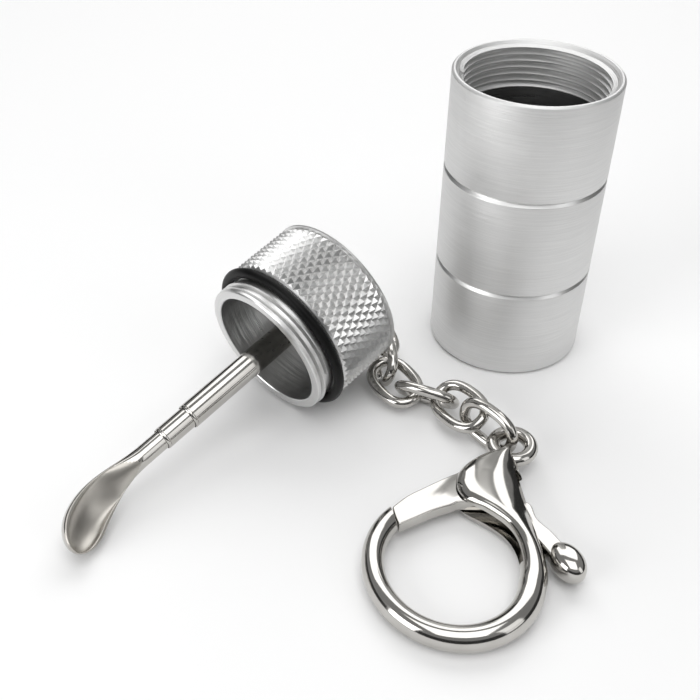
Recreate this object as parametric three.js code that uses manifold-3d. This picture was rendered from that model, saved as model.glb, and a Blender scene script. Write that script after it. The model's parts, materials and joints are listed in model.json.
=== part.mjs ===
// Snuff bottle keychain: a turned bottle, its knurled cap lying beside it with a telescopic spoon,
// and a chain that ends in a claw clasp. Millimetres, +Z up, origin at the middle of the bottle's base.
import * as THREE from "three";
import { mergeVertices } from "three/addons/utils/BufferGeometryUtils.js";
import Module from "manifold-3d";

const wasm = await Module();
wasm.setup();

// Clearances
const SEAT_GAP = 0.3; // between pieces that bear on each other
const SLIDE_GAP = 0.08; // round a tube that slides in another
const PIN_GAP = 0.12; // round a pin or a screw
const THREAD_GAP = 0.2; // between the two threads

// Bottle
const BOTTLE_DIAMETER = 24;
const BOTTLE_HEIGHT = 45;
const BOTTLE_BASE = 2;
const BASE_CHAMFER = 0.6;
const RIM_CHAMFER = 0.35;
const MOUTH_CHAMFER = 1;
const BORE_FILLET = 1.2;
const LOWER_GROOVE_HEIGHT = 14.8;
const UPPER_GROOVE_HEIGHT = 30.4;
const GROOVE_WIDTH = 0.8;
const GROOVE_DEPTH = 0.4;
const BOTTLE_WALL = 1.2; // outside the mouth's thread

// Screw thread of the cap and the mouth
const THREAD_DIAMETER = BOTTLE_DIAMETER - 2 * (BOTTLE_WALL + THREAD_GAP);
const THREAD_DEPTH = 0.5;
const THREAD_PITCH = 1;
const MOUTH_TURNS = 5;
const NECK_TURNS = 2;

// Cap, measured from its closed end
const CAP_STEP = 0.2; // from the bottle's side in to the grip
const CAP_DIAMETER = BOTTLE_DIAMETER - 2 * CAP_STEP;
const CAP_LENGTH = 15;
const NECK_WALL = 1; // inside the neck's thread
const CAP_BORE = THREAD_DIAMETER - 2 * (THREAD_DEPTH + NECK_WALL);
const CAP_END_WALL = 2.6;
const CAP_BACK_CHAMFER = 0.8;
const GRIP_LENGTH = 10.6;
const GRIP_EDGE_CHAMFER = 0.35;
const NECK_CHAMFER = 0.3;
const CAP_PLACE = new THREE.Vector2(-27.69, -9.88);
const CAP_HEADING = -132.3;
const CAP_DIP = 12.3;

// Seal
const SEAL_SECTION = 1.5;
const SEAL_SEAT_DEPTH = 0.4; // below the thread's crest
const SEAL_DIAMETER = THREAD_DIAMETER - 2 * SEAL_SEAT_DEPTH + 2 * (SEAT_GAP + SEAL_SECTION);

// Screw eye on the closed end
const EYE_WIRE = 1.3;
const EYE_RING = 3.9;
const EYE_REACH = 3;
const EYE_SCREW = 1.6;
const EYE_COLLAR = 3.4;
const EYE_COLLAR_HEIGHT = 0.5;
const EYE_SCREW_BITE = 3.4; // into the plug

// Telescopic rod and spoon
const TUBE_WALL = 0.16;
const OUTER_TUBE = 3.7;
const OUTER_TUBE_REACH = 15;
const MIDDLE_TUBE_REACH = 19.7;
const MIDDLE_TUBE_PUSH_IN = 4.4;
const SPOON_PUSH_IN = 4;
const PLUG_FLANGE = 5.2;
const PLUG_FLANGE_HEIGHT = 1;
const PLUG_SPIGOT = 4;
const PLUG_ROOF = 1.2;
const BOWL_START = 23.1;
const BOWL_LENGTH = 14.6;
const BOWL_WIDTH = 5.9;
const BOWL_DEPTH = 2.9;
const BOWL_WALL = 0.5;
const BOWL_RIM = 1;
const LEAST_HOLLOW = 0.4; // share of the bowl's width
const BOWL_HOOK = 4.9; // sideways, at the tip
const BOWL_BEND = 3; // power of the bend along the bowl
const BOWL_ROLL = 30.4;
const BOWL_WIDEST = 0.75;

// Chain
const LINK_WIRE = 1.7;
const LINK_LENGTH = 10.2;
const LINK_WIDTH = 7.1;
const LINK_GAP = 0.34;
const TAUT_RADIUS = 13.3125; // the cap's radius at which the third link, led past its rim, hangs taut
const RIM_SLACK = 0.8; // of each millimetre that the cap is smaller

// How each link lies, in degrees, and how far it is from taut, in millimetres
const CHAIN_LAY = [
  { heading: 2.3, pitch: -70.7, roll: 126, slack: 0.07 },
  { heading: -30.7, pitch: -46.3, roll: -12.7, slack: 0.14 },
  { heading: -78.6, pitch: -4.8, roll: 70.4, slack: RIM_SLACK * (TAUT_RADIUS - CAP_DIAMETER / 2) },
  { heading: -53.3, pitch: -7.1, roll: 15.3, slack: 0.97 },
  { heading: -22.9, pitch: 0.4, roll: 127.5, slack: 0.78 },
  { heading: -51.5, pitch: 1.8, roll: 29.8, slack: 0.66 },
  { heading: -44.2, pitch: -7.5, roll: 83.2, slack: 0.93 },
];

// Clasp, flat in XY, measured from the middle of its hook towards the eye
const CLASP_HEADING = -25.2;
const CLASP_SLACK = 0;
const HOOK_DIAMETER = 20;
const HOOK_OVAL = 0.036; // share by which the hook is longer one way
const HOOK_OVAL_ANGLE = -35;
const HOOK_WIDTH = 3.2;
const HOOK_THICKNESS = 3.6;
const HOOK_TAPER = 0.11; // share by which the bar is thicker near its root
const HOOK_THICKEST_ANGLE = 39;
const HOOK_ROOT_ANGLE = 40;
const HOOK_TIP_ANGLE = -204;
const CHEEK_THICKNESS = 4.9;
const CHEEK_BEVEL = 0.8;
const CHEEK_ROOT_ANGLE = 22;
const SLOT_HEIGHT = 2.3;
const SLOT_ANGLES = [24, 48];
const PIVOT_PIN = 1.6;
const PIN_SEAT = 0.6;
const GATE_THICKNESS = 1.8;
const GATE_TIP_ANGLES = [214, 226.2];
const KNOB = new THREE.Vector3(2.5, 2, 1.9);
const KNOB_ANGLE = -37;
const CLASP_EYE_RING = 5.3;
const CLASP_EYE_WIRE = 2;

// Plan of the clasp, for a hook of 20 mm and grown with it
const grown = HOOK_DIAMETER / 20;
const onPlan = (x, y) => new THREE.Vector2(x, y).multiplyScalar(grown);
const PIVOT = onPlan(1.8, 13.1);
const GATE_REACH = 14.6 * grown;
const SLOT_END = 18.2 * grown;
const SLOT_START = 6 * grown;
const SLOT_ARC = 10 * grown;
const CHEEK_HEEL = 9.2 * grown;
const KNOB_PLACE = onPlan(13.05, 6.65);
const CLASP_EYE = onPlan(0.05, 22.9);
const TAIL = onPlan(0.6, 21.2);
const CHEEK_GATE_SIDE = [
  onPlan(-2.5, 19.2),
  onPlan(-4.2, 16.6),
  onPlan(-4.85, 13.9),
  onPlan(-4.3, 11.4),
  onPlan(-2.6, 9.75),
  onPlan(0.8, 9.2),
  onPlan(2.4, 8.8),
  onPlan(4, 8.2),
  onPlan(5.5, 7.2),
  onPlan(6.7, 5.6),
];
const CHEEK_LEVER_SIDE = [
  onPlan(9.6, 6.7),
  onPlan(8.25, 9.35),
  onPlan(6.95, 11.95),
  onPlan(5.5, 14.5),
  onPlan(3.95, 16.95),
  onPlan(2.2, 19.6),
];
const GATE_INNER_EDGE = [onPlan(-6.9, 4.5), onPlan(-5.1, 6.9), onPlan(-3.5, 8.6), onPlan(-2.2, 9.8)];
const LEVER_INNER_EDGE = [onPlan(3, 11.2), onPlan(8.8, 8.2), onPlan(12.4, 5.6)];
const LEVER_OUTER_EDGE = [onPlan(13.2, 7.1), onPlan(11, 8.8), onPlan(9.2, 9.9), onPlan(7.3, 11.2)];
const BOSS_EDGE = [
  onPlan(5.8, 13.2),
  onPlan(3.9, 13.6),
  onPlan(1.9, 15.6),
  onPlan(-0.7, 15.9),
  onPlan(-3.4, 15.8),
];
const GATE_OUTER_EDGE = [onPlan(-5.1, 13.8), onPlan(-6, 12.6), onPlan(-7.8, 9.9), onPlan(-9.3, 7.5)];

// Gate spring
const SPRING_DIAMETER = 1.8;
const SPRING_WIRE = 0.3;
const SPRING_TURNS = 4;
const SPRING_FROM = onPlan(2.3, 17.4);
const SPRING_TO = onPlan(4.5, 14.2);

const radians = THREE.MathUtils.degToRad;
const MERGE = 1e-4;
const ROUND_SIDES = 40;
const TUBE_SIDES = 20;

const aluminium = new THREE.MeshStandardMaterial({ color: 0xc9cac9, roughness: 0.42, metalness: 1 });
const nickel = new THREE.MeshStandardMaterial({ color: 0xd9d6d0, roughness: 0.08, metalness: 1 });
const rubber = new THREE.MeshStandardMaterial({ color: 0x161616, roughness: 0.55, metalness: 0 });
const steel = new THREE.MeshStandardMaterial({ color: 0x9a9a98, roughness: 0.3, metalness: 1 });

// A named piece
function piece(name, geometry, material) {
  const mesh = new THREE.Mesh(geometry, material);
  mesh.name = name;
  return mesh;
}

// A closed mesh as a solid that can be joined and cut
function solid(geometry) {
  const plain = geometry.clone();
  plain.deleteAttribute("normal");
  plain.deleteAttribute("uv");
  const merged = mergeVertices(plain, MERGE);
  const mesh = new wasm.Mesh({
    numProp: 3,
    vertProperties: merged.attributes.position.array,
    triVerts: new Uint32Array(merged.index.array),
  });
  return new wasm.Manifold(mesh);
}

// A joined or cut solid as a geometry again
function geometryOf(body) {
  const mesh = body.getMesh();
  const shared = new THREE.BufferGeometry();
  shared.setAttribute("position", new THREE.BufferAttribute(mesh.vertProperties, 3));
  shared.setIndex(new THREE.BufferAttribute(mesh.triVerts, 1));
  const flat = shared.toNonIndexed();
  flat.computeVertexNormals();
  return flat;
}

// A turned piece: a half profile of [radius, height] spun about Z
function turned(profile, sides = ROUND_SIDES) {
  const points = profile.map(([radius, height]) => new THREE.Vector2(radius, height));
  return new THREE.LatheGeometry(points, sides).rotateX(Math.PI / 2);
}

// A plain tube about Z
function pipe(inner, outer, low, high) {
  return turned([[inner, low], [outer, low], [outer, high], [inner, high], [inner, low]], TUBE_SIDES);
}

// A plain rod about Z
function rod(radius, low, high) {
  return turned([[0, low], [radius, low], [radius, high], [0, high]], TUBE_SIDES);
}

// A flat outline, thick about the XY plane, with its edges taken off
function plate(shape, thickness, bevel) {
  const geometry = new THREE.ExtrudeGeometry(shape, {
    depth: thickness - 2 * bevel,
    bevelEnabled: bevel > 0,
    bevelThickness: bevel,
    bevelSize: bevel,
    bevelOffset: -bevel,
    bevelSegments: 1,
    curveSegments: 8,
  });
  return geometry.translate(0, 0, bevel - thickness / 2);
}

// A skin over rings of points, closed at both ends
function loft(rings) {
  const count = rings[0].length;
  const points = rings.flat();
  const faces = [];
  for (let r = 0; r + 1 < rings.length; r += 1) {
    for (let i = 0; i < count; i += 1) {
      const a = r * count + i;
      const b = r * count + ((i + 1) % count);
      faces.push(a, b, b + count, a, b + count, a + count);
    }
  }
  const ends = [
    { ring: rings[0], start: 0, flip: true },
    { ring: rings.at(-1), start: (rings.length - 1) * count, flip: false },
  ];
  for (const { ring, start, flip } of ends) {
    const middle = ring.reduce((sum, point) => sum.add(point), new THREE.Vector3()).divideScalar(count);
    points.push(middle);
    for (let i = 0; i < count; i += 1) {
      const edge = [start + i, start + ((i + 1) % count)];
      faces.push(...(flip ? edge.reverse() : edge), points.length - 1);
    }
  }
  const geometry = new THREE.BufferGeometry().setFromPoints(points);
  geometry.setIndex(faces);
  geometry.computeVertexNormals();
  return geometry;
}

// Bottle: base, two grooves, mouth chamfer, internal thread and bore in one turned profile
function bottleBody() {
  const outer = BOTTLE_DIAMETER / 2;
  const minor = THREAD_DIAMETER / 2 - THREAD_DEPTH + THREAD_GAP;
  const major = THREAD_DIAMETER / 2 + THREAD_GAP;
  const profile = [[0, 0], [outer - BASE_CHAMFER, 0], [outer, BASE_CHAMFER]];
  for (const height of [LOWER_GROOVE_HEIGHT, UPPER_GROOVE_HEIGHT]) {
    profile.push([outer, height - GROOVE_WIDTH / 2]);
    profile.push([outer - GROOVE_DEPTH, height]);
    profile.push([outer, height + GROOVE_WIDTH / 2]);
  }
  profile.push([outer, BOTTLE_HEIGHT - RIM_CHAMFER]);
  profile.push([outer - RIM_CHAMFER, BOTTLE_HEIGHT]);
  profile.push([minor + MOUTH_CHAMFER, BOTTLE_HEIGHT]);
  const threadTop = BOTTLE_HEIGHT - MOUTH_CHAMFER;
  for (let turn = 0; turn < MOUTH_TURNS; turn += 1) {
    profile.push([minor, threadTop - turn * THREAD_PITCH]);
    profile.push([major, threadTop - (turn + 0.5) * THREAD_PITCH]);
  }
  profile.push([minor, threadTop - MOUTH_TURNS * THREAD_PITCH]);
  profile.push([minor, BOTTLE_BASE + BORE_FILLET]);
  profile.push([minor - BORE_FILLET, BOTTLE_BASE]);
  profile.push([0, BOTTLE_BASE]);
  return piece("bottle_body", turned(profile), aluminium);
}

// Cap: grip, seal groove, threaded neck and bore, with a hole for the eye's screw
function capShell() {
  const grip = CAP_DIAMETER / 2;
  const crest = THREAD_DIAMETER / 2;
  const root = crest - THREAD_DEPTH;
  const bore = CAP_BORE / 2;
  const hole = EYE_SCREW / 2 + PIN_GAP;
  const groove = SEAL_DIAMETER / 2 - SEAL_SECTION - SEAT_GAP;
  const threadStart = CAP_LENGTH - NECK_CHAMFER - NECK_TURNS * THREAD_PITCH;
  const profile = [
    [hole, 0],
    [grip - CAP_BACK_CHAMFER, 0],
    [grip, CAP_BACK_CHAMFER],
    [grip, GRIP_LENGTH - GRIP_EDGE_CHAMFER],
    [grip - GRIP_EDGE_CHAMFER, GRIP_LENGTH],
    [groove, GRIP_LENGTH],
    [groove, threadStart],
  ];
  for (let turn = 0; turn < NECK_TURNS; turn += 1) {
    profile.push([crest, threadStart + (turn + 0.5) * THREAD_PITCH]);
    profile.push([root, threadStart + (turn + 1) * THREAD_PITCH]);
  }
  profile.push([root, CAP_LENGTH]);
  profile.push([bore, CAP_LENGTH]);
  profile.push([bore, CAP_END_WALL]);
  profile.push([hole, CAP_END_WALL]);
  profile.push([hole, 0]);
  return piece("cap_shell", turned(profile), aluminium);
}

// Seal: a round rubber ring against the grip's shoulder
const sealHeight = GRIP_LENGTH + SEAT_GAP + SEAL_SECTION / 2;
const sealRadius = (SEAL_DIAMETER - SEAL_SECTION) / 2;
function oRing() {
  const ring = new THREE.TorusGeometry(sealRadius, SEAL_SECTION / 2, 10, ROUND_SIDES);
  return piece("o_ring", ring.translate(0, 0, sealHeight), rubber);
}

// Screw eye: a ring on a collar and a screw that goes through the end wall into the plug
const plugBase = CAP_END_WALL + SEAT_GAP;
const screwTip = plugBase + EYE_SCREW_BITE;
function capScrewEye() {
  const ring = new THREE.TorusGeometry(EYE_RING / 2, EYE_WIRE / 2, 8, 24);
  ring.rotateY(Math.PI / 2);
  ring.translate(0, 0, -EYE_REACH);
  const screw = EYE_SCREW / 2;
  const stem = turned(
    [
      [0, EYE_RING / 2 - EYE_REACH],
      [screw, EYE_RING / 2 - EYE_REACH],
      [screw, -SEAT_GAP - EYE_COLLAR_HEIGHT],
      [EYE_COLLAR / 2, -SEAT_GAP - EYE_COLLAR_HEIGHT],
      [EYE_COLLAR / 2, -SEAT_GAP],
      [screw, -SEAT_GAP],
      [screw, screwTip],
      [0, screwTip],
    ],
    TUBE_SIDES,
  );
  return piece("cap_screw_eye", geometryOf(solid(ring).add(solid(stem))), nickel);
}

// Plug: a flanged nut on the floor of the bore that takes the screw and carries the outer tube
const plugShoulder = plugBase + PLUG_FLANGE_HEIGHT;
const plugTop = Math.max(plugShoulder + PLUG_SPIGOT, screwTip + SEAT_GAP + PLUG_ROOF);
function rodBasePlug() {
  const hole = EYE_SCREW / 2 + PIN_GAP;
  const spigot = OUTER_TUBE / 2 - TUBE_WALL - SLIDE_GAP;
  const profile = [
    [0, screwTip + SEAT_GAP],
    [hole, screwTip + SEAT_GAP],
    [hole, plugBase],
    [PLUG_FLANGE / 2, plugBase],
    [PLUG_FLANGE / 2, plugShoulder],
    [spigot, plugShoulder],
    [spigot, plugTop],
    [0, plugTop],
  ];
  return piece("rod_base_plug", turned(profile, TUBE_SIDES), steel);
}

// Rod: each stage slides in the one before it
const middleTube = OUTER_TUBE - 2 * TUBE_WALL - 2 * SLIDE_GAP;
const shank = middleTube - 2 * TUBE_WALL - 2 * SLIDE_GAP;
const middleTubeRoot = plugTop + SEAT_GAP + MIDDLE_TUBE_PUSH_IN;
const shankRoot = middleTubeRoot + SPOON_PUSH_IN;
function rodTubes() {
  const outerGeometry = pipe(
    OUTER_TUBE / 2 - TUBE_WALL,
    OUTER_TUBE / 2,
    plugShoulder + SEAT_GAP,
    CAP_LENGTH + OUTER_TUBE_REACH,
  );
  const middleGeometry = pipe(
    middleTube / 2 - TUBE_WALL,
    middleTube / 2,
    middleTubeRoot,
    CAP_LENGTH + MIDDLE_TUBE_REACH,
  );
  return [
    piece("rod_outer_tube", outerGeometry, nickel),
    piece("rod_middle_tube", middleGeometry, nickel),
  ];
}

// One section of the spoon: a round shank that opens into a hollow bowl
function spoonSection(share) {
  const half = BOWL_WIDTH / 2;
  const radius = shank / 2;
  const opening = THREE.MathUtils.smoothstep(share, 0, BOWL_WIDEST);
  const past = Math.max(0, (share - BOWL_WIDEST) / (1 - BOWL_WIDEST));
  const closing = Math.sqrt(1 - past * past);
  const width = THREE.MathUtils.lerp(radius, half, opening) * closing;
  const depth = THREE.MathUtils.lerp(radius, BOWL_DEPTH, opening) * closing;
  const innerWidth = Math.max(width - BOWL_RIM * opening, width * LEAST_HOLLOW);
  const innerDepth = THREE.MathUtils.lerp(-radius, Math.max(depth - BOWL_WALL, depth / 2), opening);
  const steps = 9;
  const section = [];
  for (let i = 0; i < steps; i += 1) {
    const angle = (Math.PI * (i + 0.5)) / steps;
    section.push(new THREE.Vector2(width * Math.cos(angle), -depth * Math.sin(angle)));
  }
  for (let i = steps - 1; i >= 0; i -= 1) {
    const angle = (Math.PI * (i + 0.5)) / steps;
    section.push(new THREE.Vector2(innerWidth * Math.cos(angle), -innerDepth * Math.sin(angle)));
  }
  return section;
}

// Spoon: sections set square to a centre line that bends towards the hollow side
function spoon() {
  const hollowSide = new THREE.Vector3(Math.cos(radians(BOWL_ROLL)), Math.sin(radians(BOWL_ROLL)), 0);
  const bowlStart = CAP_LENGTH + BOWL_START;
  const ringAt = (share, point, tangent) => {
    const normal = hollowSide.clone().addScaledVector(tangent, -hollowSide.dot(tangent)).normalize();
    const across = tangent.clone().cross(normal);
    return spoonSection(share).map(({ x, y }) =>
      point.clone().addScaledVector(across, x).addScaledVector(normal, y),
    );
  };
  const alongRod = new THREE.Vector3(0, 0, 1);
  const rings = [ringAt(0, new THREE.Vector3(0, 0, shankRoot), alongRod)];
  const shares = [0, 0.08, 0.16, 0.25, 0.35, 0.47, 0.6, 0.71, 0.8, 0.87, 0.92, 0.96, 0.99];
  for (const share of shares) {
    const bent = BOWL_HOOK * share ** BOWL_BEND;
    const slope = BOWL_HOOK * BOWL_BEND * share ** (BOWL_BEND - 1);
    const point = new THREE.Vector3(bent, 0, bowlStart + BOWL_LENGTH * share);
    const tangent = new THREE.Vector3(slope, 0, BOWL_LENGTH).normalize();
    rings.push(ringAt(share, point, tangent));
  }
  return piece("spoon", loft(rings), nickel);
}

// Cap with its seal, eye and rod, lying on the seal with its mouth turned down a little
function capGroup() {
  const group = new THREE.Group();
  group.add(capShell(), oRing(), capScrewEye(), rodBasePlug(), ...rodTubes(), spoon());
  const heading = radians(CAP_HEADING);
  const dip = radians(CAP_DIP);
  const axis = new THREE.Vector3(
    Math.cos(dip) * Math.cos(heading),
    Math.cos(dip) * Math.sin(heading),
    -Math.sin(dip),
  );
  const across = new THREE.Vector3(-Math.sin(heading), Math.cos(heading), 0);
  const upward = axis.clone().cross(across);
  group.quaternion.setFromRotationMatrix(new THREE.Matrix4().makeBasis(across, upward, axis));
  const sealMiddle = sealRadius * Math.cos(dip) + SEAL_SECTION / 2;
  group.position.set(CAP_PLACE.x, CAP_PLACE.y, sealMiddle + sealHeight * Math.sin(dip));
  return group;
}

// Middle line of a link: two straight sides and two round ends
const linkEnd = (LINK_WIDTH - LINK_WIRE) / 2;
const linkHalf = (LINK_LENGTH - LINK_WIDTH) / 2;
class LinkLine extends THREE.Curve {
  getPoint(share, target = new THREE.Vector3()) {
    const straight = 2 * linkHalf;
    const round = Math.PI * linkEnd;
    const length = 2 * (straight + round);
    const half = share < 0.5 ? 1 : -1;
    const along = (share < 0.5 ? share : share - 0.5) * length;
    if (along < straight) {
      return target.set(half * (linkHalf - along), half * linkEnd, 0);
    }
    const angle = (along - straight) / linkEnd;
    return target.set(
      -half * (linkHalf + linkEnd * Math.sin(angle)),
      half * linkEnd * Math.cos(angle),
      0,
    );
  }
}

// Where the middle line of a turned ring or link carries a pull, from its own middle
function bearing(turn, pull, half, end) {
  const local = pull.clone().applyQuaternion(turn.clone().invert());
  local.z = 0;
  local.setLength(end);
  local.x += Math.sign(local.x) * half;
  return local.applyQuaternion(turn);
}

function turnOf({ heading, pitch, roll }) {
  const euler = new THREE.Euler(radians(roll), -radians(pitch), radians(heading), "ZYX");
  return new THREE.Quaternion().setFromEuler(euler);
}

function longAxis(turn) {
  return new THREE.Vector3(1, 0, 0).applyQuaternion(turn);
}

// Middle of the next ring, hooked into the last one and drawn along the pull
function hooked(last, next, pull, wires, slack) {
  const held = last.place.clone().add(bearing(last.turn, pull, last.half, last.end));
  held.addScaledVector(pull, -(wires + LINK_GAP + slack));
  return held.sub(bearing(next.turn, pull.clone().negate(), next.half, next.end));
}

// Chain: each link hangs from the one before it, the first from the cap's eye
function chainLinks(eye) {
  const links = [];
  let last = eye;
  CHAIN_LAY.forEach((lay, index) => {
    const next = { turn: turnOf(lay), half: linkHalf, end: linkEnd, wire: LINK_WIRE };
    const pull = longAxis(next.turn);
    if (index > 0) {
      pull.add(longAxis(last.turn)).normalize();
    }
    next.place = hooked(last, next, pull, (last.wire + next.wire) / 2, lay.slack);
    const tube = new THREE.TubeGeometry(new LinkLine(), 22, LINK_WIRE / 2, 7, true);
    const link = piece(`chain_link_${index + 1}`, tube, nickel);
    link.position.copy(next.place);
    link.quaternion.copy(next.turn);
    links.push(link);
    last = next;
  });
  return { links, last };
}

// Hook: radius of its middle line, and the share of its full section that the bar has there
function hookRadius(angle) {
  const turn = 2 * (angle - radians(HOOK_OVAL_ANGLE));
  return (HOOK_DIAMETER / 2) * (1 + HOOK_OVAL * Math.cos(turn));
}

function hookShare(angle) {
  return 1 + HOOK_TAPER * Math.cos(angle - radians(HOOK_THICKEST_ANGLE));
}

// A point of the hook's plan, off its middle line by a share of the bar's half width
function hookPoint(angle, side) {
  const radius = hookRadius(angle) + (side * hookShare(angle) * HOOK_WIDTH) / 2;
  return new THREE.Vector2(radius * Math.cos(angle), radius * Math.sin(angle));
}

// Hook: an oval bar bent round from the root, and cut off where the gate's end swings
function claspHook() {
  const bends = 44;
  const sides = 20;
  const rings = [];
  for (let bend = 0; bend <= bends; bend += 1) {
    const angle = radians(THREE.MathUtils.lerp(HOOK_ROOT_ANGLE, HOOK_TIP_ANGLE, bend / bends));
    const ring = [];
    for (let side = 0; side < sides; side += 1) {
      const round = (2 * Math.PI * side) / sides;
      const { x, y } = hookPoint(angle, Math.cos(round));
      ring.push(new THREE.Vector3(x, y, (HOOK_THICKNESS / 2) * hookShare(angle) * Math.sin(round)));
    }
    rings.push(ring);
  }
  const reach = GATE_REACH + SEAT_GAP;
  const sweep = new THREE.Shape();
  sweep.moveTo(PIVOT.x, PIVOT.y);
  sweep.lineTo(PIVOT.x - reach, PIVOT.y);
  sweep.absarc(PIVOT.x, PIVOT.y, reach, Math.PI, 1.5 * Math.PI, false);
  return solid(loft(rings)).subtract(solid(plate(sweep, 2 * HOOK_THICKNESS, 0)));
}

// Outline of both cheeks, from the tail round the gate's root to the hook
function cheekOutline() {
  const low = radians(CHEEK_ROOT_ANGLE);
  const shape = new THREE.Shape();
  shape.moveTo(TAIL.x, TAIL.y);
  shape.splineThru(CHEEK_GATE_SIDE);
  for (const corner of [hookPoint(low, -1), hookPoint(low, 1), CHEEK_LEVER_SIDE[0]]) {
    shape.lineTo(corner.x, corner.y);
  }
  shape.splineThru([...CHEEK_LEVER_SIDE.slice(1), TAIL]);
  return shape;
}

// Slot between the cheeks, open on the gate's side and on the lever's side
function claspSlot() {
  const shape = new THREE.Shape();
  const reach = HOOK_DIAMETER / 2 + GATE_REACH;
  const [low, high] = SLOT_ANGLES.map(radians);
  shape.moveTo(reach, SLOT_END);
  shape.lineTo(-reach, SLOT_END);
  shape.lineTo(-reach, SLOT_START);
  shape.lineTo(0, SLOT_START);
  shape.absarc(0, 0, SLOT_ARC, low, high, false);
  shape.lineTo(reach, SLOT_ARC * Math.sin(high));
  return solid(plate(shape, SLOT_HEIGHT, 0));
}

// Clasp body: hook, cheeks and eye in one piece, with the slot and two blind holes for the pin
function claspBody() {
  const cheeks = solid(plate(cheekOutline(), CHEEK_THICKNESS, CHEEK_BEVEL));
  const eye = new THREE.TorusGeometry(CLASP_EYE_RING / 2, CLASP_EYE_WIRE / 2, 10, 28);
  eye.translate(CLASP_EYE.x, CLASP_EYE.y, 0);
  const seat = SLOT_HEIGHT / 2 + PIN_SEAT + SEAT_GAP / 2;
  const pinHole = rod(PIVOT_PIN / 2 + PIN_GAP, -seat, seat).translate(PIVOT.x, PIVOT.y, 0);
  const body = claspHook().add(cheeks).subtract(claspSlot()).subtract(solid(pinHole)).add(solid(eye));
  return piece("clasp_body", geometryOf(body), nickel);
}

// Outline of the gate, its hidden boss and the lever
function gateOutline() {
  const shape = new THREE.Shape();
  const [outerTip, innerTip] = GATE_TIP_ANGLES.map(radians);
  shape.absarc(PIVOT.x, PIVOT.y, GATE_REACH, outerTip, innerTip, false);
  shape.splineThru([...GATE_INNER_EDGE, ...LEVER_INNER_EDGE]);
  shape.splineThru(LEVER_OUTER_EDGE);
  shape.splineThru([...BOSS_EDGE, ...GATE_OUTER_EDGE]);
  return shape;
}

// Gate: a flat arm with its lever and knob, bored for the pin
function claspGate() {
  const arm = solid(plate(gateOutline(), GATE_THICKNESS, 0));
  const knob = new THREE.SphereGeometry(1, 16, 10).scale(KNOB.x, KNOB.y, KNOB.z);
  knob.rotateZ(radians(KNOB_ANGLE));
  knob.translate(KNOB_PLACE.x, KNOB_PLACE.y, 0);
  const hole = rod(PIVOT_PIN / 2 + PIN_GAP, -GATE_THICKNESS, GATE_THICKNESS);
  hole.translate(PIVOT.x, PIVOT.y, 0);
  return piece("clasp_gate", geometryOf(arm.add(solid(knob)).subtract(solid(hole))), nickel);
}

function claspPivotPin() {
  const half = SLOT_HEIGHT / 2 + PIN_SEAT;
  return piece("clasp_pivot_pin", rod(PIVOT_PIN / 2, -half, half).translate(PIVOT.x, PIVOT.y, 0), steel);
}

// Helix between two points of the slot's middle plane
class SpringLine extends THREE.Curve {
  getPoint(share, target = new THREE.Vector3()) {
    const angle = 2 * Math.PI * SPRING_TURNS * share;
    const radius = (SPRING_DIAMETER - SPRING_WIRE) / 2;
    const along = SPRING_TO.clone().sub(SPRING_FROM).normalize();
    const middle = SPRING_FROM.clone().lerp(SPRING_TO, share);
    const side = radius * Math.cos(angle);
    return target.set(middle.x - along.y * side, middle.y + along.x * side, radius * Math.sin(angle));
  }
}

// Least gap between neighbouring curls of the spring, on points of its line
function springGap(line) {
  const steps = 24 * SPRING_TURNS;
  const points = line.getPoints(steps);
  let least = Infinity;
  points.forEach((point, i) => {
    for (let j = i + 12; j <= steps; j += 1) {
      least = Math.min(least, point.distanceTo(points[j]) - SPRING_WIRE);
    }
  });
  return least;
}

function claspSpring() {
  const line = new SpringLine();
  console.log(`least gap between the spring's curls ${springGap(line).toFixed(2)} mm`);
  const section = new THREE.Shape();
  section.absarc(0, 0, SPRING_WIRE / 2, 0, 2 * Math.PI);
  const steps = 8 * SPRING_TURNS;
  const wire = new THREE.ExtrudeGeometry(section, { steps, curveSegments: 3, extrudePath: line });
  return piece("clasp_spring", wire, steel);
}

// Clasp, resting on its cheeks and the front of its hook, with its eye on the last link
function claspGroup(last) {
  const group = new THREE.Group();
  group.add(claspBody(), claspGate(), claspPivotPin(), claspSpring());
  const front = -Math.PI / 2;
  const lean = Math.atan2(
    (CHEEK_THICKNESS - HOOK_THICKNESS * hookShare(front)) / 2,
    CHEEK_HEEL + CHEEK_BEVEL - hookPoint(front, 1).y,
  );
  group.quaternion.setFromEuler(new THREE.Euler(lean, 0, radians(CLASP_HEADING), "ZYX"));
  const towardsEye = new THREE.Vector3(0, 1, 0).applyQuaternion(group.quaternion);
  const pull = longAxis(last.turn).sub(towardsEye).normalize();
  const eye = { turn: group.quaternion, half: 0, end: CLASP_EYE_RING / 2 };
  const place = hooked(last, eye, pull, (last.wire + CLASP_EYE_WIRE) / 2, CLASP_SLACK);
  const offset = new THREE.Vector3(CLASP_EYE.x, CLASP_EYE.y, 0).applyQuaternion(group.quaternion);
  group.position.copy(place.sub(offset));
  return group;
}

// The whole keychain
const keychain = new THREE.Group();
const cap = capGroup();
cap.updateMatrixWorld(true);
const capEye = {
  place: cap.localToWorld(new THREE.Vector3(0, 0, -EYE_REACH)),
  turn: cap.quaternion.clone().multiply(
    new THREE.Quaternion().setFromAxisAngle(new THREE.Vector3(0, 1, 0), Math.PI / 2),
  ),
  half: 0,
  end: EYE_RING / 2,
  wire: EYE_WIRE,
};
const chain = chainLinks(capEye);
keychain.add(bottleBody(), cap, ...chain.links, claspGroup(chain.last));

export default keychain;
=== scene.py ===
# %% [markdown]
# # A snuff bottle keychain
# A turned aluminium bottle stands open. Its knurled cap lies beside it with a telescopic spoon, and a
# chain runs from the cap to a claw clasp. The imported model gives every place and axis: each piece is
# modelled in millimetres in its own frame and then set down where its solid is.

# %% Load the frame
import json
from math import atan2, copysign, cos, pi, radians, sin, sqrt

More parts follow.
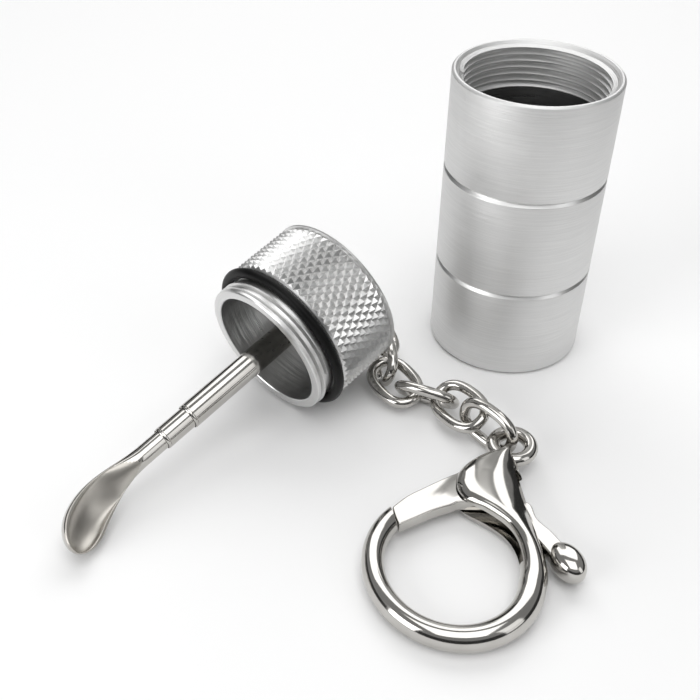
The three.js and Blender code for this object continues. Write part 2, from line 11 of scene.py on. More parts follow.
import bmesh
import bpy
import numpy as np
from mathutils import Matrix, Vector


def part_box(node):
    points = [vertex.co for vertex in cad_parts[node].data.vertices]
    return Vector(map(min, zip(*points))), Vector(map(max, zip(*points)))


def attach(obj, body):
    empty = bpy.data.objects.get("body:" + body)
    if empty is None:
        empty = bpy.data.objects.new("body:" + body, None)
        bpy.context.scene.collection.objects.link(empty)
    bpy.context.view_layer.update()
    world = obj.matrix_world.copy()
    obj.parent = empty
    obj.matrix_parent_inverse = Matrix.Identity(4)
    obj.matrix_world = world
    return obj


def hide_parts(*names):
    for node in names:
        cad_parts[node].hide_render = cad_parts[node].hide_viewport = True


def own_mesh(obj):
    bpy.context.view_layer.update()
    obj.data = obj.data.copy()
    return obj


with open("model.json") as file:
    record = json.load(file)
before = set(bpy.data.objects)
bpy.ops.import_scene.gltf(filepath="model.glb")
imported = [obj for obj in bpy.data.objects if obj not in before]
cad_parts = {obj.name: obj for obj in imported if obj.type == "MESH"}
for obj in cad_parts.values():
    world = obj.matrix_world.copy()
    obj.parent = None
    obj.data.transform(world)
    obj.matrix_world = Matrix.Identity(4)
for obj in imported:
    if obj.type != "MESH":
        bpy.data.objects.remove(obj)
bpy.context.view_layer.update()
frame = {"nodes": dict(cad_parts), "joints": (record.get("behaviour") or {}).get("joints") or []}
MM = 0.001
joints = {joint["name"]: joint for joint in frame["joints"]}

# %% [markdown]
# ## Camera
# The photograph looks down on the table with a normal lens. The camera stands where the ellipses of the
# bottle's mouth, grooves and base fall in the right places, so the render can be laid over the photograph.

# %% Camera
CAMERA_PLACE = Vector((-25.37, -129.27, 98.82))
CAMERA_DIP = radians(38.82)
CAMERA_ROLL = radians(1.048)
SENSOR = 36
LENS = 50.05

camera = bpy.data.objects.new("camera", bpy.data.cameras.new("camera"))
camera.data.sensor_width = SENSOR
camera.data.lens = LENS
camera.data.clip_start = MM
camera.matrix_world = (
    Matrix.Translation(CAMERA_PLACE * MM)
    @ Matrix.Rotation(pi / 2 - CAMERA_DIP, 4, "X")
    @ Matrix.Rotation(CAMERA_ROLL, 4, "Z")
)
scene = bpy.context.scene
scene.collection.objects.link(camera)
scene.camera = camera
scene.view_settings.view_transform = "Standard"
print("camera", [round(value) for value in CAMERA_PLACE], "mm from the bottle's foot")

# %% [markdown]
# ## Shader sums
# A finish is easier to read as a sum than as a web of nodes. A Wire wraps an output socket, and adding or
# multiplying wires adds Math nodes. Every other node comes from one method of Finish.


# %% Wires and finishes
RAMP_ENDS = (0.25, 0.75)


class Wire:
    """An output socket; arithmetic on it adds Math nodes to the same tree."""

    def __init__(self, finish, node, output):
        self.finish = finish
        self.owner = node
        self.socket = node.outputs[output]

    def out(self, output):
        return Wire(self.finish, self.owner, output)

    def maths(self, operation, first, second):
        return self.finish.node("ShaderNodeMath", {"operation": operation}, {0: first, 1: second})

    def __add__(self, other):
        return self.maths("ADD", self, other)

    def __radd__(self, other):
        return self.maths("ADD", other, self)

    def __sub__(self, other):
        return self.maths("SUBTRACT", self, other)

    def __rsub__(self, other):
        return self.maths("SUBTRACT", other, self)

    def __mul__(self, other):
        return self.maths("MULTIPLY", self, other)

    def __rmul__(self, other):
        return self.maths("MULTIPLY", other, self)

    def __pow__(self, other):
        return self.maths("POWER", self, other)


class Finish:
    """A node tree, and one method that adds any node to it."""

    def __init__(self, owner):
        owner.use_nodes = True
        self.owner = owner
        self.tree = owner.node_tree
        self.tree.nodes.clear()

    def node(self, kind, settings=None, inputs=None, output=0):
        made = self.tree.nodes.new(kind)
        for key, value in (settings or {}).items():
            if key == "stops":
                for stop, (place, colour) in zip(made.color_ramp.elements, value):
                    stop.position = place
                    stop.color = (*colour, 1)
            else:
                setattr(made, key, value)
        for key, value in (inputs or {}).items():
            if isinstance(value, Wire):
                self.tree.links.new(value.socket, made.inputs[key])
            else:
                made.inputs[key].default_value = value
        return Wire(self, made, output) if made.outputs else None

    def noise(self, vector, scale, detail=2.0):
        sockets = {"Vector": vector, "Scale": scale, "Detail": detail}
        return self.node("ShaderNodeTexNoise", {}, sockets, "Fac")

    def ramp(self, value, dark, light):
        return self.node("ShaderNodeValToRGB", {"stops": zip(RAMP_ENDS, (dark, light))}, {"Fac": value})

    def bump(self, height, strength, depth):
        sockets = {"Height": height, "Strength": strength, "Distance": depth * MM}
        return self.node("ShaderNodeBump", {}, sockets)

    def surface(self, sockets):
        shader = self.node("ShaderNodeBsdfPrincipled", {}, sockets)
        self.node("ShaderNodeOutputMaterial", {}, {"Surface": shader})
        return self.owner


def new_finish(name):
    return Finish(bpy.data.materials.new(name))


print("shader helpers ready")

# %% [markdown]
# ## Studio
# The photograph is a white table-top shot: a pale floor, large soft lights over and behind the object, and
# softer ones at the sides. The room is a plain grey, and a low dark card runs round the floor, unseen by
# the camera: both draw the dark lines in the bright plate. The floor fills the view, so its paint is the
# white background.

# %% Floor and sky
FLOOR_RADIUS = 900
FLOOR_COLOUR = (0.93, 0.93, 0.93, 1)
SKY_GREY = 0.3
PAINT_ROUGHNESS = 0.9
STAGE_SIDES = 96


def stage_object(name, mesh, material):
    data = bpy.data.meshes.new(name)
    mesh.to_mesh(data)
    mesh.free()
    data.materials.append(material)
    thing = bpy.data.objects.new(name, data)
    scene.collection.objects.link(thing)
    return thing


floor_mesh = bmesh.new()
bmesh.ops.create_circle(floor_mesh, cap_ends=True, segments=STAGE_SIDES, radius=FLOOR_RADIUS * MM)
floor_paint = new_finish("floor_paint").surface({"Base Color": FLOOR_COLOUR, "Roughness": PAINT_ROUGHNESS})
stage_object("floor", floor_mesh, floor_paint)

sky = Finish(bpy.data.worlds.new("sky"))
scene.world = sky.owner
sky_light = sky.node("ShaderNodeBackground", {}, {"Color": (1, 1, 1, 1), "Strength": SKY_GREY})
sky.node("ShaderNodeOutputWorld", {}, {"Surface": sky_light})
print("floor", FLOOR_RADIUS, "mm, sky", SKY_GREY)

# %% Lamps and dark rim
# Each lamp has a name, a place, a width and height in millimetres, and a power in watts
LAMPS = [
    ("lamp_back", (0, 330, 400), (640, 380), 1.45),
    ("lamp_top", (-10, -200, 560), (460, 520), 1.5),
    ("lamp_left", (-380, -260, 170), (240, 300), 0.85),
    ("lamp_right", (360, -260, 230), (200, 380), 0.26),
]
RIM_RADIUS = 640
RIM_HEIGHT = 260
RIM_GREY = (0.05, 0.05, 0.05, 1)
AIM = Vector((-20, -15, 15))


def facing(place):
    """A frame at a place, with its own Z turned away from the object."""
    turn = (Vector(place) - AIM).to_track_quat("Z", "Y")
    return Matrix.Translation(Vector(place) * MM) @ turn.to_matrix().to_4x4()


for name, place, (width, height), power in LAMPS:
    lamp = bpy.data.objects.new(name, bpy.data.lights.new(name, "AREA"))
    lamp.data.shape = "RECTANGLE"
    lamp.data.size = width * MM
    lamp.data.size_y = height * MM
    lamp.data.energy = power
    lamp.matrix_world = facing(place)
    scene.collection.objects.link(lamp)

rim_mesh = bmesh.new()
bmesh.ops.create_circle(rim_mesh, segments=STAGE_SIDES, radius=RIM_RADIUS * MM)
rim_up = bmesh.ops.extrude_edge_only(rim_mesh, edges=rim_mesh.edges[:])
rim_top = [part for part in rim_up["geom"] if isinstance(part, bmesh.types.BMVert)]
bmesh.ops.translate(rim_mesh, verts=rim_top, vec=(0, 0, RIM_HEIGHT * MM))
rim_paint = new_finish("card_grey").surface({"Base Color": RIM_GREY, "Roughness": PAINT_ROUGHNESS})
stage_object("card_rim", rim_mesh, rim_paint).visible_camera = False
print("lamps", len(LAMPS), "and a dark rim")

# %% [markdown]
# ## Frames of the pieces
# The seal's box and the rod's slide give the cap's frame, with Z out of the cap's mouth. The gate's pin
# gives the clasp's frame, with Y towards its eye. A link's frame comes from the spread of its solid's
# points.

# %% Frames
SEAL_HEIGHT = 11.65
PIVOT = Vector((1.8, 13.1))


def basis(across, upward, along, origin):
    turn = Matrix((across, upward, along)).transposed().to_4x4()
    return Matrix.Translation(origin) @ turn


def cap_frame():
    along = Vector(joints["middle_tube_slide"]["axis"]).normalized()
    heading = atan2(along.y, along.x)
    across = Vector((-sin(heading), cos(heading), 0))
    low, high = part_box("o_ring")
    return basis(across, along.cross(across), along, (low + high) / 2 - along * SEAL_HEIGHT * MM)


def clasp_frame():
    upward = Vector(joints["gate_swing"]["axis"]).normalized()
    heading = atan2(upward.x, -upward.y)
    across = Vector((cos(heading), sin(heading), 0))
    towards_eye = upward.cross(across)
    pin = Vector(joints["gate_swing"]["pos_m"])
    return basis(across, towards_eye, upward, pin - (across * PIVOT.x + towards_eye * PIVOT.y) * MM)


def link_frame(node):
    points = np.array([vertex.co for vertex in frame["nodes"][node].data.vertices])
    middle = points.mean(0)
    axes = np.linalg.eigh(np.cov((points - middle).T))[1]
    along, over = Vector(axes[:, 2]), Vector(axes[:, 0])
    return basis(along, over.cross(along), over, Vector(middle))


bottle_place = Matrix.Identity(4)
cap_place = cap_frame()
clasp_place = clasp_frame()
print("cap at", [round(value / MM, 1) for value in cap_place.translation])

# %% [markdown]
# ## Finishes
# The bottle and cap are aluminium off the lathe: satin, with fine lines round their axis. The rod, chain
# and clasp are bright nickel plate, which is a little warm, and the spoon's hollow is a satin one. The seal
# is black rubber. Each finish varies over its surface, at the scale that the real one does.


# %% Turned aluminium
LINE_DEPTH = 0.08
LINE_LENGTH = 7
LINE_DETAIL = 3.0
LINE_SHARE = 0.75
LINE_ROUGHNESS = 0.14
CLOUD_SCALE = 0.16
CLOUD_ROUGHNESS = 0.06
DARK_SHARE = 0.85


def own_place(finish, place):
    """Where a point lies in a piece's own frame, in millimetres."""
    sockets = {
        "Vector": finish.node("ShaderNodeTexCoord", {}, {}, "Object"),
        "Location": place.translation,
        "Rotation": place.to_euler(),
        "Scale": (MM, MM, MM),
    }
    return finish.node("ShaderNodeMapping", {"vector_type": "TEXTURE"}, sockets)


def turning_lines(finish, own, spacing):
    """Lines round the axis, on the barrel and on the flat ends: noise drawn out along the turn."""
    part = finish.node("ShaderNodeSeparateXYZ", {}, {0: own}, "X")
    across, up, along = part, part.out("Y"), part.out("Z")
    radius = (across * across + up * up) ** 0.5
    sockets = {
        "X": across * (1 / LINE_LENGTH),
        "Y": up * (1 / LINE_LENGTH),
        "Z": (along + radius) * (1 / spacing),
    }
    stretched = finish.node("ShaderNodeCombineXYZ", {}, sockets)
    return finish.noise(stretched, 1.0, LINE_DETAIL)


def turned_aluminium(name, place, tone, roughness, spacing, strength):
    finish = new_finish(name)
    own = own_place(finish, place)
    lines = turning_lines(finish, own, spacing)
    clouds = finish.noise(own, CLOUD_SCALE)
    shade = lines * LINE_SHARE + clouds * (1 - LINE_SHARE)
    dark = [value * DARK_SHARE for value in tone]
    even = roughness - (LINE_ROUGHNESS + CLOUD_ROUGHNESS) / 2
    sockets = {
        "Base Color": finish.ramp(shade, dark, tone),
        "Roughness": lines * LINE_ROUGHNESS + clouds * CLOUD_ROUGHNESS + even,
        "Metallic": 1.0,
        "Normal": finish.bump(lines, strength, LINE_DEPTH),
    }
    return finish.surface(sockets)


bottle_finish = turned_aluminium(
    "brushed_aluminium", bottle_place, tone=(0.78, 0.78, 0.775), roughness=0.54, spacing=0.13, strength=0.5
)
cap_finish = turned_aluminium(
    "machined_aluminium", cap_place, tone=(0.73, 0.73, 0.725), roughness=0.34, spacing=0.3, strength=0.3
)
# Painted shade: the bottle's bore gets a dark tone of its own, standing in for the shade inside the bottle
bore_painted_shade = turned_aluminium(
    "painted_shade_bore", bottle_place, tone=(0.3, 0.3, 0.3), roughness=0.3, spacing=0.3, strength=0.2
)
groove_finish = turned_aluminium(
    "cut_groove", bottle_place, tone=(0.85, 0.85, 0.845), roughness=0.36, spacing=0.2, strength=0.1
)
ring_finish = turned_aluminium(
    "ringed_bore", cap_place, tone=(0.75, 0.75, 0.745), roughness=0.3, spacing=0.5, strength=1.0
)
aluminium = (bottle_finish, cap_finish, bore_painted_shade, groove_finish, ring_finish)
print("aluminium finishes", [finish.name for finish in aluminium])

# %% Bright plate, rubber and plain steel
PLATE_CLOUDS = 0.35
PLATE_SPECKS = 6.0
PLATE_WAVE = 0.05
PLATE_WAVE_STRENGTH = 0.08
PLATE_CLOUD_ROUGHNESS = 0.05
PLATE_SPECK_ROUGHNESS = 0.04
RUBBER_CLOUDS = 0.5
RUBBER_GRAIN = 9.0
RUBBER_GRAIN_DEPTH = 0.03
RUBBER_GRAIN_STRENGTH = 0.25
RUBBER_GRAIN_ROUGHNESS = 0.12
RUBBER_GLOSS = 0.14
STEEL_GRAIN = 3.0
STEEL_GRAIN_ROUGHNESS = 0.15
FINE_DETAIL = 4.0


def bright_plate(name, roughness, dark, light):
    finish = new_finish(name)
    own = own_place(finish, bottle_place)
    clouds = finish.noise(own, PLATE_CLOUDS)
    specks = finish.noise(own, PLATE_SPECKS, FINE_DETAIL)
    sockets = {
        "Base Color": finish.ramp(clouds, dark, light),
        "Roughness": clouds * PLATE_CLOUD_ROUGHNESS + specks * PLATE_SPECK_ROUGHNESS + roughness,
        "Metallic": 1.0,
        "Normal": finish.bump(clouds, PLATE_WAVE_STRENGTH, PLATE_WAVE),
    }
    return finish.surface(sockets)


def seal_rubber(roughness, dark, light):
    finish = new_finish("seal_rubber")
    own = own_place(finish, cap_place)
    grain = finish.noise(own, RUBBER_GRAIN, FINE_DETAIL)
    clouds = finish.noise(own, RUBBER_CLOUDS)
    sockets = {
        "Base Color": finish.ramp(clouds, dark, light),
        "Roughness": (grain + clouds) * RUBBER_GRAIN_ROUGHNESS + roughness,
        "Specular IOR Level": RUBBER_GLOSS,
        "Normal": finish.bump(grain, RUBBER_GRAIN_STRENGTH, RUBBER_GRAIN_DEPTH),
    }
    return finish.surface(sockets)


def plain_steel(roughness, dark, light):
    finish = new_finish("plain_steel")
    own = own_place(finish, clasp_place)
    grain = finish.noise(own, STEEL_GRAIN, LINE_DETAIL)
    sockets = {
        "Base Color": finish.ramp(grain, dark, light),
        "Roughness": grain * STEEL_GRAIN_ROUGHNESS + roughness,
        "Metallic": 1.0,
    }
    return finish.surface(sockets)


plate_finish = bright_plate(
    "bright_nickel_plate", roughness=0.06, dark=(0.49, 0.477, 0.453), light=(0.56, 0.547, 0.523)
)
hollow_finish = bright_plate(
    "satin_nickel_plate", roughness=0.34, dark=(0.44, 0.42, 0.385), light=(0.52, 0.5, 0.465)
)
rubber_finish = seal_rubber(roughness=0.3, dark=(0.002, 0.002, 0.002), light=(0.005, 0.005, 0.005))
steel_finish = plain_steel(roughness=0.22, dark=(0.5, 0.5, 0.49), light=(0.6, 0.6, 0.59))
print("other finishes", plate_finish.name, hollow_finish.name, rubber_finish.name, steel_finish.name)

# %% [markdown]
# ## Making a piece
# A piece starts as a bmesh in millimetres, about its own axis. These helpers spin a profile as a lathe
# does, take the sharp edges off as polishing does, and set the finished mesh down on its body.

# %% Lathe, polish and set down
LATHE_STEPS = 144
MERGE_DISTANCE = 1e-4


def turned(profile, steps=LATHE_STEPS, closed=False):
    """A half profile of radius and height, spun once about Z."""
    mesh = bmesh.new()
    points = [mesh.verts.new((radius, 0, height)) for radius, height in profile]
    ends = points[1:] + points[:1] if closed else points[1:]
    edges = [mesh.edges.new(pair) for pair in zip(points, ends)]
    spun(mesh, points + edges, steps)
    return mesh


def spun(mesh, line, steps):
    """Spins a line of a mesh once about Z and closes it on itself."""
    bmesh.ops.spin(
        mesh, geom=line, cent=(0, 0, 0), axis=(0, 0, 1), angle=2 * pi, steps=steps, use_merge=True
    )
    tidy(mesh)


def parts_of(grown, kind):
    return [part for part in grown if isinstance(part, kind)]


def tidy(mesh):
    bmesh.ops.remove_doubles(mesh, verts=mesh.verts, dist=MERGE_DISTANCE)
    bmesh.ops.recalc_face_normals(mesh, faces=mesh.faces)


def polish(mesh, width, sharper_than=30, segments=2):
    """Rounds the sharp edges."""
    sharp = [
        edge for edge in mesh.edges
        if len(edge.link_faces) == 2 and edge.calc_face_angle() > radians(sharper_than)
    ]
    bmesh.ops.bevel(
        mesh, geom=sharp, offset=width, segments=segments, profile=0.5, affect="EDGES", material=-1,
        clamp_overlap=True,
    )


def as_object(name, mesh, place, finish, smooth_below=40):
    """A mesh in millimetres becomes an object in metres, at the origin, with its place in its mesh."""
    bmesh.ops.transform(mesh, matrix=place @ Matrix.Scale(MM, 4), verts=mesh.verts)
    data = bpy.data.meshes.new(name)
    mesh.to_mesh(data)
    mesh.free()
    smoothed(data, smooth_below)
    data.materials.append(finish)
    thing = bpy.data.objects.new(name, data)
    scene.collection.objects.link(thing)
    return thing


def smoothed(data, below):
    """Shades a mesh smooth, apart from edges sharper than an angle in degrees."""
    data.shade_smooth()
    data.set_sharp_from_angle(angle=radians(below))


def set_down(thing, body, slot, *nodes):
    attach(thing, body)
    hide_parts(*nodes)
    print(thing.name, "on", body, "faces", len(thing.data.polygons))
    return thing


print("lathe steps", LATHE_STEPS)

# %% [markdown]
# ## Screw thread
# A thread is one ridge that climbs as it goes round. Spinning its section with a small rise at each step
# makes that ridge as a closed solid, and it is let into the wall a little so that no gap shows.

# %% Thread ridge
THREAD_PITCH = 1.0
THREAD_STEPS = 72
LET_IN = 0.08


def add_thread(mesh, wall, crest, low, turns, foot=0.8, flat=0.16):
    inward = 1 if crest < wall else -1
    root = wall + inward * LET_IN
    section = [(root, -foot / 2), (crest, -flat / 2), (crest, flat / 2), (root, foot / 2)]
    points = [mesh.verts.new((radius, 0, low + height)) for radius, height in section]
    face = mesh.faces.new(points)
    bmesh.ops.spin(
        mesh, geom=points + list(face.edges) + [face], cent=(0, 0, 0), axis=(0, 0, 1),
        dvec=(0, 0, THREAD_PITCH / THREAD_STEPS), angle=2 * pi * turns, steps=round(THREAD_STEPS * turns),
    )
    bmesh.ops.recalc_face_normals(mesh, faces=mesh.faces)


print("thread pitch", THREAD_PITCH)

# %% [markdown]
# ## Bottle
# The body is one turning: a chamfered foot, two V grooves, a thin rim, a wide bright chamfer in the mouth
# and a smooth bore below the thread. A lathe profile gives all of it, and the thread is added inside. The
# bore below the thread is painted dark, as painted shade inside the bottle.

# %% Bottle
bottle_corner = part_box("bottle_body")[1]
BOTTLE_RADIUS = bottle_corner.x / MM
BOTTLE_HEIGHT = bottle_corner.z / MM
BORE_RADIUS = 10.3
THREAD_WALL = 10.8
THREAD_FOOT = 38.6
THREAD_START = 0.3
THREAD_RUNOUT = 0.4
MOUTH_TURNS = 5.5
GROOVES = (14.8, 30.4)
GROOVE_HALF = 0.4
GROOVE_DEPTH = 0.4
FOOT_CHAMFER = 0.6
RIM_BEVEL = 0.3
MOUTH_CHAMFER = (0.65, 0.8)
BASE_THICKNESS = 2
BASE_FILLET = 1.2
EDGE_ROUND = 0.07
BORE_MARGIN = 0.1
INSIDE_FROM = 1


def bottle():
    profile = [(0, 0), (BOTTLE_RADIUS - FOOT_CHAMFER, 0), (BOTTLE_RADIUS, FOOT_CHAMFER)]
    for height in GROOVES:
        profile.append((BOTTLE_RADIUS, height - GROOVE_HALF))
        profile.append((BOTTLE_RADIUS - GROOVE_DEPTH, height))
        profile.append((BOTTLE_RADIUS, height + GROOVE_HALF))
    profile += [
        (BOTTLE_RADIUS, BOTTLE_HEIGHT - RIM_BEVEL),
        (BOTTLE_RADIUS - RIM_BEVEL, BOTTLE_HEIGHT),
        (THREAD_WALL + MOUTH_CHAMFER[0], BOTTLE_HEIGHT),
        (THREAD_WALL, BOTTLE_HEIGHT - MOUTH_CHAMFER[1]),
        (THREAD_WALL, THREAD_FOOT),
        (BORE_RADIUS, THREAD_FOOT - THREAD_RUNOUT),
        (BORE_RADIUS, BASE_THICKNESS + BASE_FILLET),
        (BORE_RADIUS - BASE_FILLET, BASE_THICKNESS),
        (0, BASE_THICKNESS),
    ]
    mesh = turned(profile)
    polish(mesh, EDGE_ROUND)
    # Faces inside the bore take the painted shade, and faces in the grooves take the cut finish
    for face in mesh.faces:
        middle = face.calc_center_median()
        inside = middle.xy.length < BORE_RADIUS + BORE_MARGIN and INSIDE_FROM < middle.z < THREAD_FOOT
        grooved = not inside and any(abs(middle.z - height) < GROOVE_HALF for height in GROOVES)
        face.material_index = 1 if inside else 2 if grooved else 0
    add_thread(mesh, THREAD_WALL, BORE_RADIUS, THREAD_FOOT + THREAD_START, MOUTH_TURNS)
    thing = as_object("bottle", mesh, bottle_place, bottle_finish)
    thing.data.materials.append(bore_painted_shade)
    thing.data.materials.append(groove_finish)
    return thing


set_down(bottle(), "bottle", "aluminium", "bottle_body")

# %% [markdown]
# ## Cap
# The grip is diamond knurled: two sets of crossing grooves leave rows of small pyramids. A spun grid is
# poked so that every cell has a middle point, the grid's own lines are dissolved, and what is left is a
# net of diamonds. Poking those again raises the pyramids. The rest of the cap is a turning that meets
# the net's two edges, so that the cap is one closed mesh.

# %% Knurl
KNURL_COLUMNS = 56
KNURL_ROWS = 5
KNURL_HEIGHT = 0.55
KNURL_LOW = 0.55
KNURL_HIGH = 10.35
GRIP_RADIUS = 11.8
VALLEY = GRIP_RADIUS - KNURL_HEIGHT


def knurl():
    mesh = bmesh.new()
    heights = [KNURL_LOW + (KNURL_HIGH - KNURL_LOW) * row / KNURL_ROWS for row in range(KNURL_ROWS + 1)]
    points = [mesh.verts.new((VALLEY, 0, height)) for height in heights]
    edges = [mesh.edges.new(pair) for pair in zip(points, points[1:])]
    spun(mesh, points + edges, KNURL_COLUMNS)
    grid_lines = [edge for edge in mesh.edges if len(edge.link_faces) == 2]
    middles = bmesh.ops.poke(mesh, faces=mesh.faces[:])["verts"]
    for point in middles:
        point.co.xy = point.co.xy.normalized() * VALLEY
    bmesh.ops.dissolve_edges(mesh, edges=grid_lines)
    diamonds = [face for face in mesh.faces if len(face.verts) == 4]
    halves = [face for face in mesh.faces if len(face.verts) == 3]
    bmesh.ops.poke(mesh, faces=diamonds, offset=KNURL_HEIGHT)
    bmesh.ops.poke(mesh, faces=halves, offset=KNURL_HEIGHT / 2)
    return mesh


print("knurl", KNURL_COLUMNS, "by", KNURL_ROWS)

# %% Cap turning
CAP_LENGTH = 15
CAP_BORE = 9.1
CAP_FLOOR = 2.6
SHOULDER = 10.6
SEAL_GROOVE = 10.2
NECK_WALL = 10.1
NECK_CREST = 10.6
SCREW_HOLE = 0.92
SEAT_LENGTH = 1.7
SEAT_STEP = 0.2
LIP_LENGTH = 0.75
LIP_SLOPE = 0.2
LIP_DROP = 0.1
LIP_BEVEL = 0.15
BORE_BEVEL = 0.12
BORE_FILLET = 0.3
NECK_THREAD_START = 2.15
NECK_TURNS = 1.55
FACET_ANGLE = 28
# In from the valleys and up from the shoulder, then in from the crests and up from the closed end
SHOULDER_EDGE = [(0.05, -0.1), (0.15, 0)]
END_EDGE = [(0.5, 0), (0.12, 0.12), (0, 0.3), (0.06, 0.4)]


def cap():
    mesh = knurl()
    profile = [(VALLEY, KNURL_HIGH)]
    profile += [(VALLEY - inset, SHOULDER + rise) for inset, rise in SHOULDER_EDGE]
    profile += [
        (SEAL_GROOVE, SHOULDER),
        (SEAL_GROOVE, SHOULDER + SEAT_LENGTH),
        (NECK_WALL, SHOULDER + SEAT_LENGTH + SEAT_STEP),
        (NECK_WALL, CAP_LENGTH - LIP_LENGTH),
        (NECK_CREST - LIP_DROP, CAP_LENGTH - LIP_LENGTH + LIP_SLOPE),
        (NECK_CREST - LIP_DROP, CAP_LENGTH - LIP_BEVEL),
        (NECK_CREST - LIP_DROP - LIP_BEVEL, CAP_LENGTH),
        (CAP_BORE + BORE_BEVEL, CAP_LENGTH),
        (CAP_BORE, CAP_LENGTH - BORE_BEVEL),
        (CAP_BORE, CAP_FLOOR + BORE_FILLET),
        (CAP_BORE - BORE_FILLET, CAP_FLOOR),
        (SCREW_HOLE, CAP_FLOOR),
        (SCREW_HOLE, 0),
    ]
    profile += [(GRIP_RADIUS - inset, rise) for inset, rise in END_EDGE]
    profile.append((VALLEY, KNURL_LOW))
    rest = turned(profile, KNURL_COLUMNS)
    holder = bpy.data.meshes.new("cap_turning")
    rest.to_mesh(holder)
    rest.free()
    mesh.from_mesh(holder)
    tidy(mesh)
    for face in mesh.faces:
        middle = face.calc_center_median()
        in_length = INSIDE_FROM < middle.z < CAP_LENGTH - BORE_MARGIN
        inside = in_length and middle.xy.length < CAP_BORE + BORE_MARGIN
        face.material_index = 1 if inside else 0
    add_thread(mesh, NECK_WALL, NECK_CREST, SHOULDER + NECK_THREAD_START, NECK_TURNS, foot=0.75, flat=0.2)
    thing = as_object("knurled_cap", mesh, cap_place, cap_finish, FACET_ANGLE)
    thing.data.materials.append(ring_finish)
    return thing


set_down(cap(), "cap", "aluminium", "cap_shell")

# %% [markdown]
# ## Seal
# A rubber ring of round section sits against the grip's shoulder. A circle spun about the cap's axis is
# exactly that.

# %% Seal
SEAL_RADIUS = 11.25
SEAL_SECTION = 1.5


def ring_of(radius, wire, steps, sides=24):
    """A round wire bent into a ring about Z."""
    mesh = bmesh.new()
    bmesh.ops.create_circle(mesh, segments=sides, radius=wire / 2)
    stand = Matrix.Translation((radius, 0, 0)) @ Matrix.Rotation(pi / 2, 4, "X")
    bmesh.ops.transform(mesh, matrix=stand, verts=mesh.verts)
    spun(mesh, mesh.verts[:] + mesh.edges[:], steps)
    return mesh


def seal():
    mesh = ring_of(SEAL_RADIUS, SEAL_SECTION, LATHE_STEPS)
    bmesh.ops.translate(mesh, verts=mesh.verts, vec=(0, 0, SEAL_HEIGHT))
    return as_object("seal_ring", mesh, cap_place, rubber_finish)


set_down(seal(), "cap", "seal_rubber", "o_ring")

# %% [markdown]
# ## Telescopic rod
# Two thin tubes slide in each other, and the spoon's shank slides in the second. Each tube's end is rolled
# in a little, with a fine groove behind the roll, so that a dark seam shows where the next stage starts.

# %% Rod tubes and plug
TUBE_WALL = 0.16
OUTER_TUBE = 1.85
OUTER_TUBE_ENDS = (4.2, 30)
MIDDLE_TUBE = 1.61
MIDDLE_TUBE_ENDS = (12.6, 34.7)
SEAM = 0.45
SEAM_HALF = 0.06
SEAM_DEPTH = 0.06
# How far in from the wall, and how far back from the tube's end
TUBE_LIP = [(0, 0.22), (0.03, 0.08), (0.11, 0)]
BORE_LIP = [(0.03, 0), (0, 0.06)]
TUBE_STEPS = 64
PLUG_PROFILE = [
    (0, 6.6), (0.92, 6.6), (0.92, 2.9), (2.6, 2.9), (2.6, 3.9), (1.61, 3.9), (1.61, 7.9), (0, 7.9),
]
PLUG_STEPS = 48
PLUG_ROUND = 0.08


def tube(name, radius, ends):
    low, high = ends
    bore = radius - TUBE_WALL
    profile = [
        (bore, low),
        (radius, low),
        (radius, high - SEAM - SEAM_HALF),
        (radius - SEAM_DEPTH, high - SEAM),
        (radius, high - SEAM + SEAM_HALF),
    ]
    profile += [(radius - inset, high - back) for inset, back in TUBE_LIP]
    profile += [(bore + inset, high - back) for inset, back in BORE_LIP]
    mesh = turned(profile, TUBE_STEPS, closed=True)
    return as_object(name, mesh, cap_place, plate_finish)


outer_tube = tube("outer_tube", OUTER_TUBE, OUTER_TUBE_ENDS)
set_down(outer_tube, "cap", "bright_plate", "rod_outer_tube")
middle_tube = tube("middle_tube", MIDDLE_TUBE, MIDDLE_TUBE_ENDS)
set_down(middle_tube, "rod_middle", "bright_plate", "rod_middle_tube")
plug_mesh = turned(PLUG_PROFILE, PLUG_STEPS)
polish(plug_mesh, PLUG_ROUND)
set_down(as_object("rod_plug", plug_mesh, cap_place, steel_finish), "cap", "plain_steel", "rod_base_plug")

# %% [markdown]
# ## Spoon
# The shank opens into a small scoop that bends to one side. Rings are extruded one from the next along the
# bend, and each ring is given the section of its place: round on the shank, hollow in the bowl. The faces
# that look out of the hollow get the satin plate.

# %% Drawing a skin along stations
SECTION_STEPS = 16


def drawn(sections):
    """A skin over rings of points, each extruded from the last, with both ends filled."""
    mesh = bmesh.new()
    ring = bmesh.ops.create_circle(mesh, segments=len(sections[0]), radius=1)["verts"]
    edges = mesh.edges[:]
    for number, section in enumerate(sections):
        if number > 0:
            grown = bmesh.ops.extrude_edge_only(mesh, edges=edges)["geom"]
            fresh = set(parts_of(grown, bmesh.types.BMVert))
            edges = [edge for edge in parts_of(grown, bmesh.types.BMEdge) if set(edge.verts) <= fresh]
            ring = [follower(point, fresh) for point in ring]
        for point, place in zip(ring, section):
            point.co = place
    bmesh.ops.holes_fill(mesh, edges=[edge for edge in mesh.edges if edge.is_boundary], sides=0)
    tidy(mesh)
    return mesh


def follower(point, fresh):
    """The point that was extruded from a point."""
    return next(edge.other_vert(point) for edge in point.link_edges if edge.other_vert(point) in fresh)


print("section steps", SECTION_STEPS)

